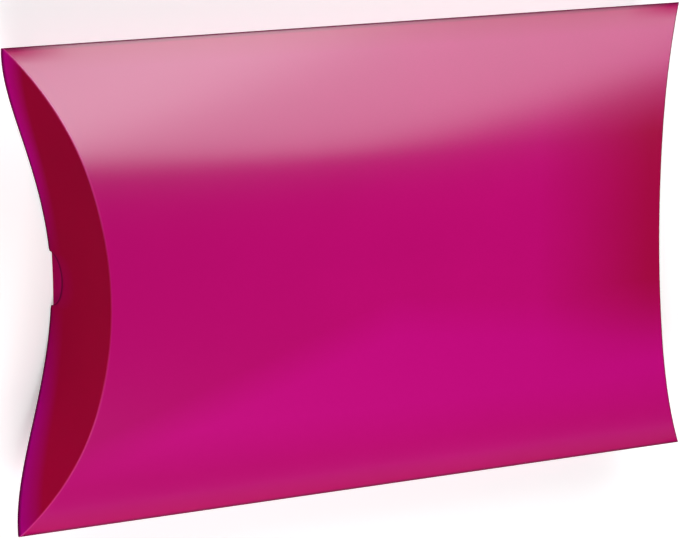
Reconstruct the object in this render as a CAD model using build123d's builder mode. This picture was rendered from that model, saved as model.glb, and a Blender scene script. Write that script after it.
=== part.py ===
from build123d import *
from math import atan2, degrees, sqrt
import os

os.makedirs("parts", exist_ok=True)

# A pillow box: one die-cut card, creased along curves and glued along one long edge.
# It lies on the crown of its back panel, X along its length and Y across it.

# Overall sizes of the closed box, taken over its folds as if they were sharp
length = 354.5
width = 221.0
# Height of each panel's crown over the plane of the four tips
rise = 33.8
# How far each end is drawn in at its middle
dip = 33.8

# The card, its rounded long folds and the room that moving flaps need
card = 0.5
fold_radius = 0.9
crease_gap = 0.2
flap_clearance = 0.3

# The thumb notch in the free edge of each outer flap
notch_radius = 12.5
notch_lip_radius = 1.5

# An inner flap stops short of the tips, and is lower than the end that it closes.
# It turns by this share of the outer flap's angle, and has to stay clear of it all the way.
inner_follow_share = 0.5
inner_swing_gap = 1.2
inner_side_inset = 3.0

# The tab that is glued inside the front panel, and the glue between the two
tab_width = 15.0
tab_end_inset = 10.0
tab_end_taper = 7.0
glue_film = 0.1
glue_margin = 2.0
# The glue keeps this hair of room on each side, so that the curved faces do not cut into each other
glue_room = 0.1

# Cutting blocks reach this far past what they cut
overrun = 2.0

# A panel's section is a broad crown arc that runs on into two tighter flank arcs.
# They meet at these shares of the half width and of the rise.
crown_span_share = 0.45
shoulder_share = 0.84

# An outer flap leans outwards from its crease, more towards the tips: the slope at a tip
flap_lean_share = 0.35
# Where the curved ends are laid out, as shares of the half width
station_shares = (-1, -0.85, -0.65, -0.45, -0.25, 0, 0.25, 0.45, 0.65, 0.85, 1)


def crown_arc(half_span, height):
    """Half span, drop and radius of an arch's crown arc."""
    shoulder_y = crown_span_share * half_span
    drop = (1 - shoulder_share) * height
    return shoulder_y, drop, (shoulder_y**2 + drop**2) / (2 * drop)


def flank_arc(half_span, height):
    """Centre (y, z) and radius of the arc from the shoulder to the tip, tangent to the crown arc."""
    shoulder_y, drop, crown_radius = crown_arc(half_span, height)
    shoulder_z = height - drop
    side = shoulder_y / crown_radius
    up = 1 - drop / crown_radius
    back = half_span - shoulder_y
    radius = (back**2 + shoulder_z**2) / (2 * (up * shoulder_z - side * back))
    return shoulder_y - side * radius, shoulder_z - up * radius, radius


def arch_height(y, half_span, height):
    """Height of the arch over the line between its two tips."""
    shoulder_y, drop, crown_radius = crown_arc(half_span, height)
    if abs(y) <= shoulder_y:
        return height - crown_radius + sqrt(crown_radius**2 - y**2)
    centre_y, centre_z, radius = flank_arc(half_span, height)
    return centre_z + sqrt(radius**2 - (abs(y) - centre_y) ** 2)


def arch_line(half_span, height, side):
    """The three arcs of an arch over (side 1) or under (side -1) the line between its tips."""
    shoulder_y = crown_span_share * half_span
    flank_y = (shoulder_y + half_span) / 2
    shoulder_z = side * arch_height(shoulder_y, half_span, height)
    flank_z = side * arch_height(flank_y, half_span, height)
    ThreePointArc((-half_span, 0), (-flank_y, flank_z), (-shoulder_y, shoulder_z))
    ThreePointArc((-shoulder_y, shoulder_z), (0, side * height), (shoulder_y, shoulder_z))
    ThreePointArc((shoulder_y, shoulder_z), (flank_y, flank_z), (half_span, 0))


half_length = length / 2
half_width = width / 2

# Depths behind an outer flap's outside face, from the outside in
inner_flap_near = card + flap_clearance
inner_flap_far = inner_flap_near + card
front_panel_end = card + crease_gap
back_panel_end = inner_flap_far + crease_gap

# How high the inner flap may reach over the plane of the tips and still clear the outer flap
inner_reach = rise * (1 - inner_follow_share) / (1 + inner_follow_share) - inner_swing_gap


def end_x(y, z, lean):
    """X of the left end's outside face, with z from the plane of the tips."""
    crease_x = arch_height(y, half_width, dip) - half_length
    crease_z = arch_height(y, half_width, rise)
    return crease_x - lean * (y / half_width) ** 2 * (crease_z - z)


def end_point(share, z, depth, lean):
    """A point of the left end's plan at height z, set in by depth, square to the outside face."""
    y = share * half_width
    slope = (end_x(y + card, z, lean) - end_x(y - card, z, lean)) / (2 * card)
    stretch = sqrt(1 + slope**2)
    return end_x(y, z, lean) + depth / stretch, y - depth * slope / stretch


def end_points(z, depth, lean):
    return [end_point(share, z, depth, lean) for share in station_shares]


def end_outline(z, near, far, lean):
    """Plan of the left end's wall at height z, between two depths."""
    outside = Spline(*end_points(z, near, lean))
    inside = Spline(*end_points(z, far, lean))
    Line(outside @ 0, inside @ 0)
    Line(outside @ 1, inside @ 1)


def between_ends(depth):
    """All that lies deeper than this behind both ends' creases."""
    points = end_points(rise, depth, 0)
    with BuildPart() as block:
        with BuildSketch(Plane.XY.offset(-overrun)):
            with BuildLine():
                left = Spline(*points)
                right = Spline(*[(-x, y) for x, y in points])
                Line(left @ 0, right @ 0)
                Line(left @ 1, right @ 1)
            make_face()
        extrude(amount=2 * (rise + overrun))
    return block.part


# The box's section across its length: two arches, tip to tip, with rounded long folds
section_plane = Plane(origin=(0, 0, rise), x_dir=(0, 1, 0), z_dir=(1, 0, 0))

with BuildSketch(section_plane) as outside_section:
    with BuildLine():
        arch_line(half_width, rise, 1)
        arch_line(half_width, rise, -1)
    make_face()
    fillet(outside_section.vertices().sort_by(Axis.X)[0], fold_radius)
    fillet(outside_section.vertices().sort_by(Axis.X)[-1], fold_radius)

with BuildSketch(section_plane) as inside_section:
    add(outside_section.sketch_local)
    offset(amount=-card)

with BuildPart() as outside_block:
    with BuildSketch(section_plane):
        add(outside_section.sketch_local)
    extrude(amount=half_length, both=True)

front_block = between_ends(front_panel_end)
back_block = between_ends(back_panel_end)

# The two panels meet face to face at the long folds, in the plane of the tips
with BuildPart() as front_panel:
    with BuildSketch(section_plane):
        add(outside_section.sketch_local)
        add(inside_section.sketch_local, mode=Mode.SUBTRACT)
        Rectangle(width, rise + overrun, align=(Align.CENTER, Align.MIN), mode=Mode.INTERSECT)
    extrude(amount=half_length, both=True)
    add(front_block, mode=Mode.INTERSECT)

with BuildPart() as back_panel:
    with BuildSketch(section_plane):
        add(outside_section.sketch_local)
        add(inside_section.sketch_local, mode=Mode.SUBTRACT)
        Rectangle(width, rise + overrun, align=(Align.CENTER, Align.MAX), mode=Mode.INTERSECT)
    extrude(amount=half_length, both=True)
    add(back_block, mode=Mode.INTERSECT)

# The outer flap hangs from the front panel's crease and reaches the back panel's outside face
with BuildPart() as left_outer_flap:
    for z in (-rise - overrun, 0, rise + overrun):
        with BuildSketch(Plane.XY.offset(rise + z)):
            with BuildLine():
                end_outline(z, 0, card, flap_lean_share)
            make_face()
    loft()
    add(outside_block.part, mode=Mode.INTERSECT)
    with BuildSketch(Plane.YZ.offset(-half_length)):
        Circle(notch_radius)
    extrude(amount=dip + overrun, mode=Mode.SUBTRACT)
    notch_lips = left_outer_flap.edges().filter_by(Axis.X).sort_by(lambda edge: abs(edge.center().Y))
    fillet(notch_lips[:2], notch_lip_radius)

# The inner flap stands on the back panel's crease, behind the outer flap
with BuildPart() as left_inner_flap:
    with BuildSketch(section_plane):
        with BuildLine():
            arch_line(half_width, inner_reach, 1)
            arch_line(half_width, rise, -1)
        make_face()
        Rectangle(width - 2 * inner_side_inset, 2 * rise, mode=Mode.INTERSECT)
    extrude(amount=half_length, both=True)
    with BuildSketch(Plane.XY):
        with BuildLine():
            end_outline(rise, inner_flap_near, inner_flap_far, 0)
        make_face()
    extrude(amount=2 * rise, mode=Mode.INTERSECT)

with BuildPart() as right_outer_flap:
    mirror(left_outer_flap.part, about=Plane.YZ)

with BuildPart() as right_inner_flap:
    mirror(left_inner_flap.part, about=Plane.YZ)

# The glue tab folds off the back panel at the -Y edge and lies along the front panel's inside
flank_y, flank_z, flank_radius = flank_arc(half_width, rise)
fold_angle = degrees(atan2(-flank_z, flank_y - half_width))
glue_radius = flank_radius - card - glue_room - glue_film / 2
tab_radius = glue_radius - glue_film / 2 - glue_room - card / 2
tab_root_half = half_length - tab_end_inset
tab_free_half = tab_root_half - tab_end_taper
tab_free_y = tab_width - half_width

with BuildPart() as glue_flap:
    with BuildSketch(section_plane):
        with BuildLine():
            CenterArc((-flank_y, flank_z), tab_radius, fold_angle, -degrees(tab_width / tab_radius))
        trace(line_width=card)
        add(inside_section.sketch_local, mode=Mode.INTERSECT)
    extrude(amount=tab_root_half, both=True)
    with BuildSketch(Plane.XY):
        with BuildLine():
            Polyline(
                (-tab_root_half, -half_width),
                (tab_root_half, -half_width),
                (tab_free_half, tab_free_y),
                (-tab_free_half, tab_free_y),
                close=True,
            )
        make_face()
    extrude(amount=2 * rise, mode=Mode.INTERSECT)

glue_start = fold_angle - degrees(glue_margin / glue_radius)
glue_span = degrees((tab_width - 2 * glue_margin) / glue_radius)

with BuildPart() as glue_line:
    with BuildSketch(section_plane):
        with BuildLine():
            CenterArc((-flank_y, flank_z), glue_radius, glue_start, -glue_span)
        trace(line_width=glue_film)
    extrude(amount=tab_free_half - glue_margin, both=True)

front_panel.part.label = "front_panel"
export_step(front_panel.part, "parts/front_panel.step")
back_panel.part.label = "back_panel"
export_step(back_panel.part, "parts/back_panel.step")
glue_flap.part.label = "glue_flap"
export_step(glue_flap.part, "parts/glue_flap.step")
glue_line.part.label = "glue_line"
export_step(glue_line.part, "parts/glue_line.step")
left_outer_flap.part.label = "left_outer_flap"
export_step(left_outer_flap.part, "parts/left_outer_flap.step")
left_inner_flap.part.label = "left_inner_flap"
export_step(left_inner_flap.part, "parts/left_inner_flap.step")
right_outer_flap.part.label = "right_outer_flap"
export_step(right_outer_flap.part, "parts/right_outer_flap.step")
right_inner_flap.part.label = "right_inner_flap"
export_step(right_inner_flap.part, "parts/right_inner_flap.step")
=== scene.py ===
from math import pi, radians

import bpy
from mathutils import Matrix, Quaternion, Vector

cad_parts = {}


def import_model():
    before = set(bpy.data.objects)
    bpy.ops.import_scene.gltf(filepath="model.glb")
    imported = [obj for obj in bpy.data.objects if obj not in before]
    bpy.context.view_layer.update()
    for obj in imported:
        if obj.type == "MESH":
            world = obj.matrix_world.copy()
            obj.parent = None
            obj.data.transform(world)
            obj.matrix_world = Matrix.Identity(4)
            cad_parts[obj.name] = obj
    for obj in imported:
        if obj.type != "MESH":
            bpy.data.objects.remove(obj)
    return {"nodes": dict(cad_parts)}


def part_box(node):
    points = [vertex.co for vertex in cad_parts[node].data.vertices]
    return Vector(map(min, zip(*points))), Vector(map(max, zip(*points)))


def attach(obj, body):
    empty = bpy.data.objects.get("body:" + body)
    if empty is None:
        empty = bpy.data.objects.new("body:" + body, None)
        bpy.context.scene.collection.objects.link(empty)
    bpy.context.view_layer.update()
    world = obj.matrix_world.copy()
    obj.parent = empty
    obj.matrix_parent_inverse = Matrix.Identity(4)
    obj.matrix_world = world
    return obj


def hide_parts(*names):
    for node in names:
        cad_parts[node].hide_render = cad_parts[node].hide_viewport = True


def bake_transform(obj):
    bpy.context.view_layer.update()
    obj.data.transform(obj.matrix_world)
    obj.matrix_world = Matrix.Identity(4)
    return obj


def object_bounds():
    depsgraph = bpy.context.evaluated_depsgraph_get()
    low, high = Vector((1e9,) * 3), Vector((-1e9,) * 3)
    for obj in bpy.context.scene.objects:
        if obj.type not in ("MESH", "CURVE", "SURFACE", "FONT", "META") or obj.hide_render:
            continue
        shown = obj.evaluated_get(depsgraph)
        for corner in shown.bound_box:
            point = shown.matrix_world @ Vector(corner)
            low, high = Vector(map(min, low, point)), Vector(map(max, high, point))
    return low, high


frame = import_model()
cad_low, cad_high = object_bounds()

# Sizes of the box in metres, as the source has them, over its folds as if they were sharp
HALF_LENGTH = 0.17725
HALF_WIDTH = 0.1105
RISE = cad_high.z / 2
DIP = 0.0338
CARD = 0.0005
# A panel's crown arc ends at these shares of the half width and of the rise
CROWN_SPAN = 0.45
SHOULDER = 0.84
# The slope by which an outer flap leans outwards at a tip
FLAP_LEAN = 0.35
NOTCH_RADIUS = 0.0125
NOTCH_LIP = 0.0015

# An inner flap lies this deep behind the outer one's face, and stops short of the tips
INNER_DEPTH = 0.0008
INNER_SIDE_INSET = 0.003
# How far it reaches past the tips' plane
INNER_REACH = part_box("left_inner_flap")[1].z - RISE

# How far from its line a crease begins to turn, and a long fold
CREASE_LEG = 0.0005
FOLD_LEG = 0.0012
# At the glued fold the front panel stops short of the tips' plane by this share of the fold's turn
FRONT_SEAM = 0.06
# Faces that meet at a wider angle keep a sharp edge between them
SHARP_ANGLE = radians(40)

# Each part's dye, plain and deep. The outer flaps' deeper crimson is painted shade: a shaded copy of
# the panels' magenta card
PANEL_DYE = (0.64, 0.0, 0.205), (0.56, 0.0, 0.168)
OUTER_FLAP_SHADED_DYE = (0.48, 0.0, 0.044), (0.43, 0.0, 0.036)
INNER_FLAP_DYE = (0.66, 0.0, 0.2), (0.6, 0.0, 0.17)
# Painted light and shade that lie over the dye
LEFT_PAINTED_SHADE = (0.54, 0.0, 0.165)
SWEEP_PAINTED_SHEEN = (0.66, 0.0, 0.25)
RIGHT_END_PAINTED_SHADE = (0.42, 0.0, 0.04)
FOLD_PAINTED_SHADE = (0.5, 0.0, 0.09)
UPPER_FLAP_PAINTED_SHADE = (0.295, 0.0, 0.026)
FLARE_PAINTED_SHEEN = (0.54, 0.0, 0.27)
RIM_PAINTED_SHADE = (0.1, 0.0, 0.035)
LEFT_CREASE_PAINTED_HIGHLIGHT = (0.75, 0.05, 0.3)
RIGHT_CREASE_PAINTED_SHADE = (0.2, 0.0, 0.06)

# The satin coating
PANEL_COAT = 0.45
FLAP_COAT = 0.012
COAT_ROUGHNESS = 0.21
COAT_IOR = 2.3

# The photograph's frame, and its camera, worked out from the box's own tips and creases
PHOTO_WIDTH = 680
FOCAL_PIXELS = 3157.0
SENSOR = 36.0
CAMERA_PLACE = (-0.6863, 0.2515, 1.3169)
CAMERA_ACROSS = (0.88375, -0.0166, 0.46766)
CAMERA_UP = (0.09562, 0.98469, -0.14573)

# The studio: its floor's half side, and its tones, which are greys
FLOOR_REACH = 4.0
FLOOR_TONE = 0.93
FLOOR_GLOW = 0.4
WALL_TONE = 0.25
CEILING_TONE = 0.04

NUMBER = "NodeSocketFloat"
COUNT = "NodeSocketInt"
MATERIAL = "NodeSocketMaterial"
GEOMETRY = "NodeSocketGeometry"


# Numbers that a node tree works out


class Line:
    """A number that a node tree works out at each point."""

    def __init__(self, tree, socket):
        self.tree = tree
        self.socket = socket

    def __add__(self, other):
        return work("ADD", self, other)

    def __sub__(self, other):
        return work("SUBTRACT", self, other)

    def __rsub__(self, other):
        return work("SUBTRACT", other, self)

    def __mul__(self, other):
        return work("MULTIPLY", self, other)

    def __rmul__(self, other):
        return work("MULTIPLY", other, self)

    def __truediv__(self, other):
        return work("DIVIDE", self, other)


def work(operation, *values):
    """The result of one Math node on numbers and lines."""
    tree = next(value.tree for value in values if isinstance(value, Line))
    node = tree.nodes.new("ShaderNodeMath")
    node.operation = operation
    for place, value in zip(node.inputs, values):
        fill(tree, place, value)
    return Line(tree, node.outputs[0])


def fill(tree, place, value):
    """Links a line to the input, or sets it to a number."""
    if isinstance(value, Line):
        tree.links.new(value.socket, place)
    else:
        place.default_value = value


def square(value):
    return value * value


def root(value):
    return work("SQRT", value)


def unsigned(value):
    return work("ABSOLUTE", value)


def smaller(a, b):
    return work("MINIMUM", a, b)


def larger(a, b):
    return work("MAXIMUM", a, b)


def split_in(tree, vector):
    """The three lines of a vector."""
    node = tree.nodes.new("ShaderNodeSeparateXYZ")
    tree.links.new(vector, node.inputs[0])
    return [Line(tree, socket) for socket in node.outputs]


# Shapes of the card's sheets


def new_tree(name, inputs, outputs):
    """A node tree, its named inputs as lines, and its output node."""
    tree = bpy.data.node_groups.new(name, "GeometryNodeTree")
    for label, kind in inputs:
        tree.interface.new_socket(label, in_out="INPUT", socket_type=kind)
    for label, kind in outputs:
        tree.interface.new_socket(label, in_out="OUTPUT", socket_type=kind)
    group = tree.nodes.new("NodeGroupInput")
    result = tree.nodes.new("NodeGroupOutput")
    given = {label: Line(tree, group.outputs[label]) for label, kind in inputs}
    return tree, given, result


def arch_tree():
    """An arch of a broad crown arc and two tighter flank arcs: its height, and its slant, at Y."""
    tree, given, result = new_tree(
        "arch",
        [(label, NUMBER) for label in ("Y", "Half Width", "Height", "Crown Span", "Shoulder")],
        [("Height", NUMBER), ("Slant", NUMBER)],
    )
    y, half_width, height = given["Y"], given["Half Width"], given["Height"]
    shoulder_y = given["Crown Span"] * half_width
    drop = (1 - given["Shoulder"]) * height
    crown_radius = (square(shoulder_y) + square(drop)) / (2 * drop)
    shoulder_z = height - drop
    side = shoulder_y / crown_radius
    up = 1 - drop / crown_radius
    back = half_width - shoulder_y
    flank_radius = (square(back) + square(shoulder_z)) / (2 * (up * shoulder_z - side * back))
    flank_y = shoulder_y - side * flank_radius
    flank_z = shoulder_z - up * flank_radius
    crown = work("LESS_THAN", y, shoulder_y)
    radius = flank_radius + crown * (crown_radius - flank_radius)
    centre_y = flank_y * (1 - crown)
    centre_z = flank_z + crown * (height - crown_radius - flank_z)
    tall = root(square(radius) - square(y - centre_y))
    tree.links.new((centre_z + tall).socket, result.inputs["Height"])
    tree.links.new((radius / tall).socket, result.inputs["Slant"])
    return tree


ARCH = arch_tree()

SHEET_SIZES = {
    "Half Length": HALF_LENGTH,
    "Half Width": HALF_WIDTH,
    "Rise": RISE,
    "Dip": DIP,
    "Crown Span": CROWN_SPAN,
    "Shoulder": SHOULDER,
    "Crease Leg": CREASE_LEG,
    "Fold Leg": FOLD_LEG,
}


def sheet_tree(name, own):
    """A tree for a sheet of the card, with the inputs that all sheets have and its own."""
    numbers = [(label, NUMBER) for label in (*SHEET_SIZES, "Depth", "Face", *own)]
    counts = [("Rows", COUNT), ("Columns", COUNT)]
    return new_tree(name, numbers + counts + [("Material", MATERIAL)], [("Geometry", GEOMETRY)])


def arch_at(given, y, height):
    """Height and slant of the arch of that height over the width, at Y."""
    node = y.tree.nodes.new("GeometryNodeGroup")
    node.node_tree = ARCH
    values = {"Y": y, "Height": height}
    for label in ("Half Width", "Crown Span", "Shoulder"):
        values[label] = given[label]
    for label, value in values.items():
        y.tree.links.new(value.socket, node.inputs[label])
    return Line(y.tree, node.outputs["Height"]), Line(y.tree, node.outputs["Slant"])


def section_at(given, y):
    """Height of the closed box's section over the tips' plane, with its long fold rounded."""
    start = given["Half Width"] - given["Fold Leg"]
    past = larger(y - start, 0) / given["Fold Leg"]
    return arch_at(given, smaller(y, start), given["Rise"])[0] * root(1 - 2 * past)


def crease_at(given, y):
    """How far out the end crease lies at Y."""
    plan, slant = arch_at(given, y, given["Dip"])
    return given["Half Length"] - plan - given["Depth"] * slant


def leg_at(given, section):
    """How far from its line the crease begins to turn, which is less towards the tips."""
    leg = given["Crease Leg"]
    return leg * section / (section + leg)


def grid_in(tree, given):
    """A flat grid, and its two coordinates from -1 to 1."""
    grid = tree.nodes.new("GeometryNodeMeshGrid")
    grid.inputs["Size X"].default_value = 2
    grid.inputs["Size Y"].default_value = 2
    tree.links.new(given["Columns"].socket, grid.inputs["Vertices X"])
    tree.links.new(given["Rows"].socket, grid.inputs["Vertices Y"])
    place = tree.nodes.new("GeometryNodeInputPosition")
    along, across = split_in(tree, place.outputs[0])[:2]
    return grid.outputs["Mesh"], along, across


def gather(tree, x, y, z):
    """A vector of three lines or numbers."""
    node = tree.nodes.new("ShaderNodeCombineXYZ")
    for value, place in zip((x, y, z), node.inputs):
        fill(tree, place, value)
    return node.outputs[0]


def lay_sheet(tree, given, result, mesh, place, sheet, edges, turned):
    """Keeps where each point lies on the flat card, and its distances from the card's edge or
    fold and from its crease, then moves the grid into its shape."""
    for name, value in (("sheet", sheet), ("edges", edges)):
        keep = tree.nodes.new("GeometryNodeStoreNamedAttribute")
        keep.data_type = "FLOAT_VECTOR"
        keep.domain = "POINT"
        keep.inputs["Name"].default_value = name
        tree.links.new(mesh, keep.inputs["Geometry"])
        tree.links.new(value, keep.inputs["Value"])
        mesh = keep.outputs["Geometry"]
    move = tree.nodes.new("GeometryNodeSetPosition")
    tree.links.new(mesh, move.inputs["Geometry"])
    tree.links.new(place, move.inputs["Position"])
    flip = tree.nodes.new("GeometryNodeFlipFaces")
    tree.links.new(move.outputs[0], flip.inputs["Mesh"])
    tree.links.new(turned.socket, flip.inputs["Selection"])
    real = tree.nodes.new("GeometryNodeRealizeInstances")
    tree.links.new(flip.outputs[0], real.inputs[0])
    paint = tree.nodes.new("GeometryNodeSetMaterial")
    tree.links.new(real.outputs[0], paint.inputs["Geometry"])
    tree.links.new(given["Material"].socket, paint.inputs["Material"])
    tree.links.new(paint.outputs[0], result.inputs["Geometry"])


def panel_tree():
    """A panel: the section's arch, straight along X between the two end creases."""
    tree, given, result = sheet_tree("curved_panel", ("Seam",))
    mesh, along, across = grid_in(tree, given)
    side = unsigned(across)
    # This share of the rows lies on the arch, and the others on the rounded long folds
    flat_rows = 0.9
    flat = smaller(side / flat_rows, 1)
    seam = given["Seam"] * work("LESS_THAN", across, 0)
    turn = larger(side - flat_rows, 0) / (1 - flat_rows) * (0.5 - seam)
    y = flat * (given["Half Width"] - given["Fold Leg"]) + 2 * turn * (1 - turn) * given["Fold Leg"]
    section = section_at(given, y)
    reach = crease_at(given, y) - leg_at(given, section)
    x = along * reach
    signed_y = y * work("SIGN", across)
    place = gather(tree, x, signed_y, given["Rise"] + given["Face"] * section)
    edges = gather(tree, given["Half Width"] - y, reach * (1 - unsigned(along)), 0)
    sheet = gather(tree, x, signed_y, given["Face"])
    turned = work("LESS_THAN", given["Face"], 0)
    lay_sheet(tree, given, result, mesh, place, sheet, edges, turned)
    return tree


def notch_rows(given, side):
    """Y of an outer flap's rows, and how much the notch takes off its free edge there.
    The rows follow the notch's arc, then its lip, then the rest of the edge."""
    arc_rows, lip_rows = 0.2, 0.25
    radius, lip = given["Notch Radius"], given["Notch Lip"]
    arc = smaller(side / arc_rows, 1) * work("ARCCOSINE", lip / radius)
    lip_turn = smaller(larger(side - arc_rows, 0) / (lip_rows - arc_rows), 1) * (pi / 2)
    rest = larger(side - lip_rows, 0) / (1 - lip_rows)
    notch_y = radius * work("SINE", arc) + lip * (1 - work("COSINE", lip_turn))
    widest = given["Half Width"] - given["Fold Leg"] * 0.5
    y = notch_y + work("SINE", rest * (pi / 2)) * (widest - notch_y)
    on_lip = work("GREATER_THAN", side, arc_rows)
    arc_cut = radius * work("COSINE", arc)
    lip_cut = lip * (1 - work("SINE", lip_turn))
    return y, (1 - on_lip) * arc_cut + on_lip * lip_cut


def flap_tree(notched):
    """An end flap: it turns down from its panel's crease and stands straight to its free edge."""
    if notched:
        tree, given, result = sheet_tree("outer_flap", ("End", "Lean", "Notch Radius", "Notch Lip"))
    else:
        tree, given, result = sheet_tree("inner_flap", ("End", "Lean", "Reach", "Flap Half Width"))
    mesh, down, across = grid_in(tree, given)
    # Heights are measured from the tips' plane towards the flap's own crease
    if notched:
        y, notch = notch_rows(given, unsigned(across))
        section = section_at(given, y)
        free = notch - section
    else:
        y = unsigned(across) * given["Flap Half Width"]
        section = section_at(given, y)
        free = 0 - arch_at(given, y, given["Reach"])[0]
    leg = leg_at(given, section)
    # This share of the columns lies on the crease's turn
    turn_columns = 0.12
    run = (down + 1) / 2
    turn = smaller(run / turn_columns, 1)
    fall = larger(run - turn_columns, 0) / (1 - turn_columns)
    z = section - leg * square(turn) + fall * (free - section + leg)
    lean = given["Lean"] * square(y / given["Half Width"])
    x = crease_at(given, y) - leg * square(1 - turn) + lean * (section - z)
    signed_y = y * work("SIGN", across)
    place = gather(tree, given["End"] * x, signed_y, given["Rise"] + given["Face"] * z)
    edges = gather(tree, z - free, section - z, 0)
    # A flap's grain is drawn from another layer of the noise than its panel's
    sheet = gather(tree, given["End"] * (x + section - z), signed_y, given["Face"] * 3)
    turned = work("LESS_THAN", given["Face"] * given["End"], 0)
    lay_sheet(tree, given, result, mesh, place, sheet, edges, turned)
    return tree


# Materials


def new_material(name):
    """A material, its tree and its shader."""
    material = bpy.data.materials.new(name)
    material.use_nodes = True
    tree = material.node_tree
    tree.nodes.clear()
    shader = tree.nodes.new("ShaderNodeBsdfPrincipled")
    output = tree.nodes.new("ShaderNodeOutputMaterial")
    tree.links.new(shader.outputs[0], output.inputs[0])
    return material, tree, shader


def attribute_in(tree, name):
    node = tree.nodes.new("ShaderNodeAttribute")
    node.attribute_name = name
    return node.outputs["Vector"]


def card_place(tree, stretch):
    """Where a point lies on the flat card, stretched for a grain that runs along the box."""
    mapping = tree.nodes.new("ShaderNodeMapping")
    mapping.inputs["Scale"].default_value = stretch
    tree.links.new(attribute_in(tree, "sheet"), mapping.inputs["Vector"])
    return mapping.outputs["Vector"]


def object_place(tree):
    return tree.nodes.new("ShaderNodeTexCoord").outputs["Object"]


def noise(tree, place, scale, detail, rough):
    node = tree.nodes.new("ShaderNodeTexNoise")
    node.inputs["Scale"].default_value = scale
    node.inputs["Detail"].default_value = detail
    node.inputs["Roughness"].default_value = rough
    tree.links.new(place, node.inputs["Vector"])
    return Line(tree, node.outputs["Fac"])


def spread(value, low, high, to_low, to_high):
    """The value's range from low to high laid over another range, and held at its ends."""
    node = value.tree.nodes.new("ShaderNodeMapRange")
    value.tree.links.new(value.socket, node.inputs["Value"])
    labels = ("From Min", "From Max", "To Min", "To Max")
    for label, number in zip(labels, (low, high, to_low, to_high)):
        node.inputs[label].default_value = number
    return Line(value.tree, node.outputs["Result"])


def between(tree, share, first, second):
    """A colour from the first to the second by the share. Each may be a socket."""
    node = tree.nodes.new("ShaderNodeMix")
    node.data_type = "RGBA"
    tree.links.new(share.socket, node.inputs["Factor"])
    for label, colour in (("A", first), ("B", second)):
        place = next(s for s in node.inputs if s.name == label and s.type == "RGBA")
        if isinstance(colour, bpy.types.NodeSocket):
            tree.links.new(colour, place)
        else:
            place.default_value = (*colour, 1)
    return next(s for s in node.outputs if s.type == "RGBA")


def bump(tree, shader, height, distance, strength):
    node = tree.nodes.new("ShaderNodeBump")
    node.inputs["Distance"].default_value = distance
    node.inputs["Strength"].default_value = strength
    tree.links.new(height.socket, node.inputs["Height"])
    tree.links.new(node.outputs["Normal"], shader.inputs["Normal"])


def panel_shades(tree, tone, x, y, to_edge, to_crease):
    """A panel's painted shade and sheen over its dye."""
    # Painted shade darkens it towards -X, and a painted sheen turns it violet in a broad band along
    # the glued side
    tone = between(tree, spread(x, -0.14, 0.04, 0.9, 0), tone, LEFT_PAINTED_SHADE)
    sheen_band = spread(y - smaller(x, 0) * 0.35 + larger(x, 0) * 0.12, -0.032, -0.012, 0.9, 0)
    sheen_band = sheen_band * spread(y, -0.088, -0.066, 0.1, 1)
    tone = between(tree, sheen_band, tone, SWEEP_PAINTED_SHEEN)
    # A painted shade turns it crimson beside the middle of the +X crease
    painted_shade_strip = spread(to_crease, 0.006, 0.068, 0.85, 0) * work("GREATER_THAN", x, 0)
    painted_shade_strip = painted_shade_strip * spread(y, -0.06, -0.018, 0, 1) * spread(y, 0.052, 0.085, 1, 0)
    tone = between(tree, painted_shade_strip, tone, RIGHT_END_PAINTED_SHADE)
    # Painted shade deepens it towards a long fold
    return between(tree, spread(to_edge, 0.001, 0.012, 0.7, 0), tone, FOLD_PAINTED_SHADE)


def flap_shades(tree, tone, y, to_edge):
    """An end flap's painted shade and sheen over its dye."""
    # Painted shade deepens it towards +Y
    tone = between(tree, spread(y, -0.08, 0.06, 0, 1), tone, UPPER_FLAP_PAINTED_SHADE)
    # A painted violet sheen lies along the parts of the free edge that lean out
    flare_width = spread(y, -0.05, 0.03, 0.0172, 0.0138)
    flare_sheen = spread(to_edge / flare_width, 0.12, 1, 0.95, 0)
    flare_sheen = flare_sheen * spread(unsigned(y), 0.012, 0.06, 0.15, 1) * spread(y, 0.0, 0.08, 1, 0.8)
    return between(tree, flare_sheen, tone, FLARE_PAINTED_SHEEN)


def panel_coat(y, to_edge, to_crease):
    """The coating's weight on a panel, where the glued fold, the tips and each fold's own line
    have lost most of it."""
    glued = spread(to_edge, 0.0, 0.011, 0.85, 0) * work("LESS_THAN", y, 0)
    tips = spread(to_edge, 0.002, 0.008, 0.9, 0) * spread(to_crease, 0.005, 0.03, 1, 0)
    line = spread(to_edge, 0.0, 0.0015, 0.85, 0)
    return PANEL_COAT * (1 - larger(larger(glued, tips), line))


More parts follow.
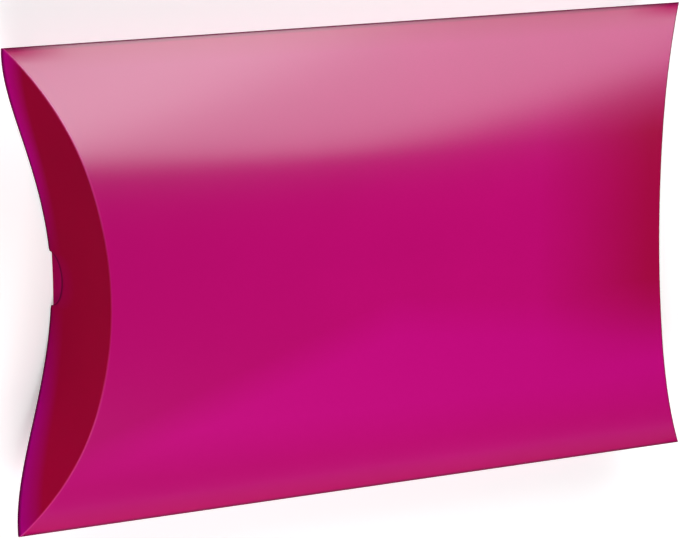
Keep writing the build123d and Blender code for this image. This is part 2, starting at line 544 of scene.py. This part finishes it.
def satin_card(name, dye, deep_dye, on_panel):
    """The outside of a panel, or both sides of an end flap: dyed card, a little cloudy, under a satin
    coating, with painted shade and sheen over the dye. A painted shade darkens it at a fold or cut
    edge, and its crease shows as a painted highlight at -X and a painted shade at +X."""
    material, tree, shader = new_material(name)
    x, y = split_in(tree, attribute_in(tree, "sheet"))[:2]
    to_edge, to_crease = split_in(tree, attribute_in(tree, "edges"))[:2]
    cloud = noise(tree, card_place(tree, (1, 1, 1)), scale=22, detail=3, rough=0.55)
    grain = noise(tree, card_place(tree, (0.3, 1, 1)), scale=1900, detail=3, rough=0.6)
    tone = between(tree, spread(cloud, 0.3, 0.7, 0.4, 0), dye, deep_dye)
    tone = between(tree, spread(grain, 0.35, 0.65, 0, 0.3), tone, deep_dye)
    if on_panel:
        tone = panel_shades(tree, tone, x, y, to_edge, to_crease)
        tree.links.new(panel_coat(y, to_edge, to_crease).socket, shader.inputs["Coat Weight"])
    else:
        tone = flap_shades(tree, tone, y, to_edge)
        shader.inputs["Coat Weight"].default_value = FLAP_COAT
    # Painted shade: a dark line along each long fold and free edge
    tone = between(tree, spread(to_edge, 0.0008, 0.0026, 0.85, 0), tone, RIM_PAINTED_SHADE)
    # The crease's line is a painted highlight at -X and a painted shade at +X, fainter in the middle
    # of the end than towards the tips
    crease = between(tree, work("GREATER_THAN", x, 0), LEFT_CREASE_PAINTED_HIGHLIGHT, RIGHT_CREASE_PAINTED_SHADE)
    on_crease = spread(to_crease, 0.0, 0.0006, 0.55, 0) * spread(unsigned(y), 0.02, 0.055, 0.3, 1)
    tree.links.new(between(tree, on_crease, tone, crease), shader.inputs["Base Color"])
    rub = noise(tree, card_place(tree, (6, 60, 1)), scale=4, detail=4, rough=0.6)
    rough = spread(cloud, 0.25, 0.75, 0.42, 0.48) + spread(rub, 0.62, 0.75, 0, 0.1)
    tree.links.new(rough.socket, shader.inputs["Roughness"])
    shader.inputs["Specular IOR Level"].default_value = 0.0
    shader.inputs["Coat Roughness"].default_value = COAT_ROUGHNESS
    shader.inputs["Coat IOR"].default_value = COAT_IOR
    bump(tree, shader, grain, 0.00002, 0.35)
    return material


def bare_finish(tree, shader, tone, fibre):
    """The dull, fibrous finish of card without a coating."""
    tree.links.new(tone, shader.inputs["Base Color"])
    tree.links.new(spread(fibre, 0.3, 0.7, 0.72, 0.86).socket, shader.inputs["Roughness"])
    shader.inputs["Specular IOR Level"].default_value = 0.3
    bump(tree, shader, fibre, 0.00004, 0.5)


def inside_card():
    """The inside of a panel: the same dye, without a coating."""
    material, tree, shader = new_material("inside_card")
    fibre = noise(tree, card_place(tree, (0.35, 1, 1)), scale=1400, detail=4, rough=0.65)
    cloud = noise(tree, card_place(tree, (1, 1, 1)), scale=30, detail=3, rough=0.5)
    tone = between(tree, spread(cloud, 0.3, 0.7, 0, 1), (0.33, 0.004, 0.05), (0.38, 0.006, 0.06))
    tone = between(tree, spread(fibre, 0.4, 0.7, 0, 0.3), tone, (0.45, 0.02, 0.1))
    bare_finish(tree, shader, tone, fibre)
    return material


def tab_card():
    """The glue tab, which shows its bare side. It is a solid that keeps no place on the flat card."""
    material, tree, shader = new_material("tab_card")
    fibre = noise(tree, object_place(tree), scale=1400, detail=4, rough=0.65)
    tone = between(tree, spread(fibre, 0.35, 0.7, 0, 1), (0.34, 0.004, 0.055), (0.4, 0.012, 0.08))
    bare_finish(tree, shader, tone, fibre)
    return material


def cut_edge():
    """The die-cut edge: the card's dyed core, pressed a little darker by the knife."""
    material, tree, shader = new_material("cut_edge")
    fibre = noise(tree, object_place(tree), scale=2600, detail=3, rough=0.6)
    tone = between(tree, spread(fibre, 0.35, 0.65, 0, 1), (0.11, 0.0, 0.03), (0.2, 0.003, 0.05))
    tree.links.new(tone, shader.inputs["Base Color"])
    shader.inputs["Roughness"].default_value = 0.8
    shader.inputs["Specular IOR Level"].default_value = 0.25
    bump(tree, shader, fibre, 0.00003, 0.5)
    return material


def glue_film():
    """Dry white glue, a little uneven."""
    material, tree, shader = new_material("glue_film")
    streak = noise(tree, object_place(tree), scale=260, detail=3, rough=0.5)
    tone = between(tree, spread(streak, 0.3, 0.7, 0, 1), (0.78, 0.74, 0.64), (0.86, 0.83, 0.75))
    tree.links.new(tone, shader.inputs["Base Color"])
    tree.links.new(spread(streak, 0.3, 0.7, 0.32, 0.5).socket, shader.inputs["Roughness"])
    bump(tree, shader, streak, 0.00005, 0.5)
    return material


# Pieces

PANEL = satin_card("panel_card", *PANEL_DYE, on_panel=True)
OUTER_FLAP = satin_card("outer_flap_card", *OUTER_FLAP_SHADED_DYE, on_panel=False)
INNER_FLAP = satin_card("inner_flap_card", *INNER_FLAP_DYE, on_panel=False)
INSIDE = inside_card()
EDGE = cut_edge()


def settle(piece):
    """The piece's modifiers become its plain mesh."""
    depsgraph = bpy.context.evaluated_depsgraph_get()
    shape = piece.evaluated_get(depsgraph)
    mesh = bpy.data.meshes.new_from_object(shape, preserve_all_data_layers=True, depsgraph=depsgraph)
    piece.modifiers.clear()
    piece.data = mesh


def card_piece(name, tree, sizes, inside):
    """A piece of the card: a sheet that the tree shapes, given the card's thickness inwards."""
    piece = bpy.data.objects.new(name, bpy.data.meshes.new(name))
    bpy.context.scene.collection.objects.link(piece)
    shape = piece.modifiers.new("shape", "NODES")
    shape.node_group = tree
    identifiers = {s.name: s.identifier for s in tree.interface.items_tree if s.in_out == "INPUT"}
    for label, value in {**SHEET_SIZES, **sizes}.items():
        shape[identifiers[label]] = value
    settle(piece)
    piece.data.materials.clear()
    for material in (sizes["Material"], inside, EDGE):
        piece.data.materials.append(material)
    thick = piece.modifiers.new("card", "SOLIDIFY")
    thick.thickness = CARD
    thick.offset = -1
    thick.use_even_offset = True
    thick.material_offset = 1
    thick.material_offset_rim = 2
    settle(piece)
    piece.data.shade_smooth()
    piece.data.set_sharp_from_angle(angle=SHARP_ANGLE)
    piece.data.name = name
    return piece


def panels():
    tree = panel_tree()
    common = {"Rows": 141, "Columns": 91, "Material": PANEL}
    front = {"Depth": 0.0, "Face": 1.0, "Seam": FRONT_SEAM}
    back = {"Depth": INNER_DEPTH, "Face": -1.0, "Seam": 0.0}
    for side, sizes in (("front", front), ("back", back)):
        panel = card_piece(side + "_card", tree, {**common, **sizes}, INSIDE)
        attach(panel, "carton")
        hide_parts(side + "_panel")


def hang(flap, body):
    """Hides the source's solid for this flap, and bakes the piece's transform into its mesh."""
    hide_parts(body + "_flap")
    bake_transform(flap)


def end_flaps():
    """Both ends' outer and inner flaps, each finished alike on both sides."""
    outer_sizes = {
        "Depth": 0.0,
        "Face": 1.0,
        "Lean": FLAP_LEAN,
        "Notch Radius": NOTCH_RADIUS,
        "Notch Lip": NOTCH_LIP,
        "Rows": 201,
        "Columns": 67,
        "Material": OUTER_FLAP,
    }
    inner_sizes = {
        "Depth": INNER_DEPTH,
        "Face": -1.0,
        "Lean": 0.0,
        "Reach": INNER_REACH,
        "Flap Half Width": HALF_WIDTH - INNER_SIDE_INSET,
        "Rows": 161,
        "Columns": 51,
        "Material": INNER_FLAP,
    }
    outer_tree, inner_tree = flap_tree(True), flap_tree(False)
    for side, end in (("left", -1.0), ("right", 1.0)):
        outer = card_piece(side + "_outer_card", outer_tree, {**outer_sizes, "End": end}, OUTER_FLAP)
        hang(outer, side + "_outer")
        inner = card_piece(side + "_inner_card", inner_tree, {**inner_sizes, "End": end}, INNER_FLAP)
        hang(inner, side + "_inner")


def hidden_pieces():
    """The glue tab and its glue keep their solids, and get their own finishes."""
    for name, material in (("glue_flap", tab_card()), ("glue_line", glue_film())):
        mesh = frame["nodes"][name].data
        mesh.materials.clear()
        mesh.materials.append(material)


# Stage


def grey(tone):
    return (tone, tone, tone)


def add_object(name, data):
    holder = bpy.data.objects.new(name, data)
    bpy.context.scene.collection.objects.link(holder)
    return holder


def floor():
    """A plain floor that looks white, and mirrors so, but lights the box as a pale one."""
    mesh = bpy.data.meshes.new("floor")
    corners = ((-1, -1), (1, -1), (1, 1), (-1, 1))
    mesh.from_pydata([(x * FLOOR_REACH, y * FLOOR_REACH, 0) for x, y in corners], [], [(0, 1, 2, 3)])
    ground = add_object("floor", mesh)
    material, tree, shader = new_material("pale_floor")
    shader.inputs["Base Color"].default_value = (*grey(FLOOR_TONE), 1)
    shader.inputs["Roughness"].default_value = 0.9
    shader.inputs["Specular IOR Level"].default_value = 0.0
    path = tree.nodes.new("ShaderNodeLightPath")
    seen, mirrored, refracted = [
        Line(tree, path.outputs[ray])
        for ray in ("Is Camera Ray", "Is Glossy Ray", "Is Transmission Ray")
    ]
    glow = larger(larger(seen, mirrored), refracted) * FLOOR_GLOW
    tree.links.new(glow.socket, shader.inputs["Emission Strength"])
    mesh.materials.append(material)


def softbox(name, place, aim, width, height, brightness, roll=0.0):
    """A soft lamp at a place that faces a point. Its brightness is its face's, where 1 is white."""
    lamp = bpy.data.lights.new(name, "AREA")
    lamp.shape = "RECTANGLE"
    lamp.size = width
    lamp.size_y = height
    lamp.energy = brightness * pi * width * height
    holder = add_object(name, lamp)
    holder.location = place
    facing = (Vector(aim) - Vector(place)).to_track_quat("-Z", "Y")
    holder.rotation_euler = (facing @ Quaternion((0, 0, 1), radians(roll))).to_euler()
    holder.visible_camera = False


def lamps():
    """Two rear lamps make the panel's pale reflection, and the others light a half of the -X end
    each."""
    middle, upper_side = (0, 0, 0), (0, 0.06, 0.05)
    softbox("rear_softbox", (0.42, 0.96, 0.809), upper_side, 0.912, 1.1, 2.65, -3)
    softbox("rear_strip", (0.362, 0.985, 0.809), upper_side, 0.284, 1.1, 2.2, -3)
    softbox("front_softbox", (-0.36, -1.0, 0.95), middle, 0.7, 0.7, 9.6)
    softbox("left_softbox", (-1.0, 0.9, 0.5), middle, 0.8, 0.5, 3.2)


def world():
    """A studio with pale walls up to eye height and a dim ceiling."""
    sky = bpy.data.worlds.new("studio")
    bpy.context.scene.world = sky
    sky.use_nodes = True
    tree = sky.node_tree
    coordinates = tree.nodes.new("ShaderNodeTexCoord")
    height = split_in(tree, coordinates.outputs["Generated"])[2]
    walls = spread(height, 0.02, 0.2, 1, 0)
    tone = between(tree, walls, grey(CEILING_TONE), grey(WALL_TONE))
    tree.links.new(tone, tree.nodes["Background"].inputs["Color"])


def camera():
    """The photograph's viewpoint."""
    across, up = Vector(CAMERA_ACROSS), Vector(CAMERA_UP)
    lens = bpy.data.cameras.new("camera")
    lens.sensor_width = SENSOR
    lens.lens = FOCAL_PIXELS / PHOTO_WIDTH * SENSOR
    holder = add_object("camera", lens)
    turn = Matrix((across, up, across.cross(up))).transposed().to_4x4()
    holder.matrix_world = Matrix.Translation(CAMERA_PLACE) @ turn
    bpy.context.scene.camera = holder


bpy.context.scene.view_settings.view_transform = "Standard"
camera()
world()
floor()
lamps()
panels()
end_flaps()
hidden_pieces()
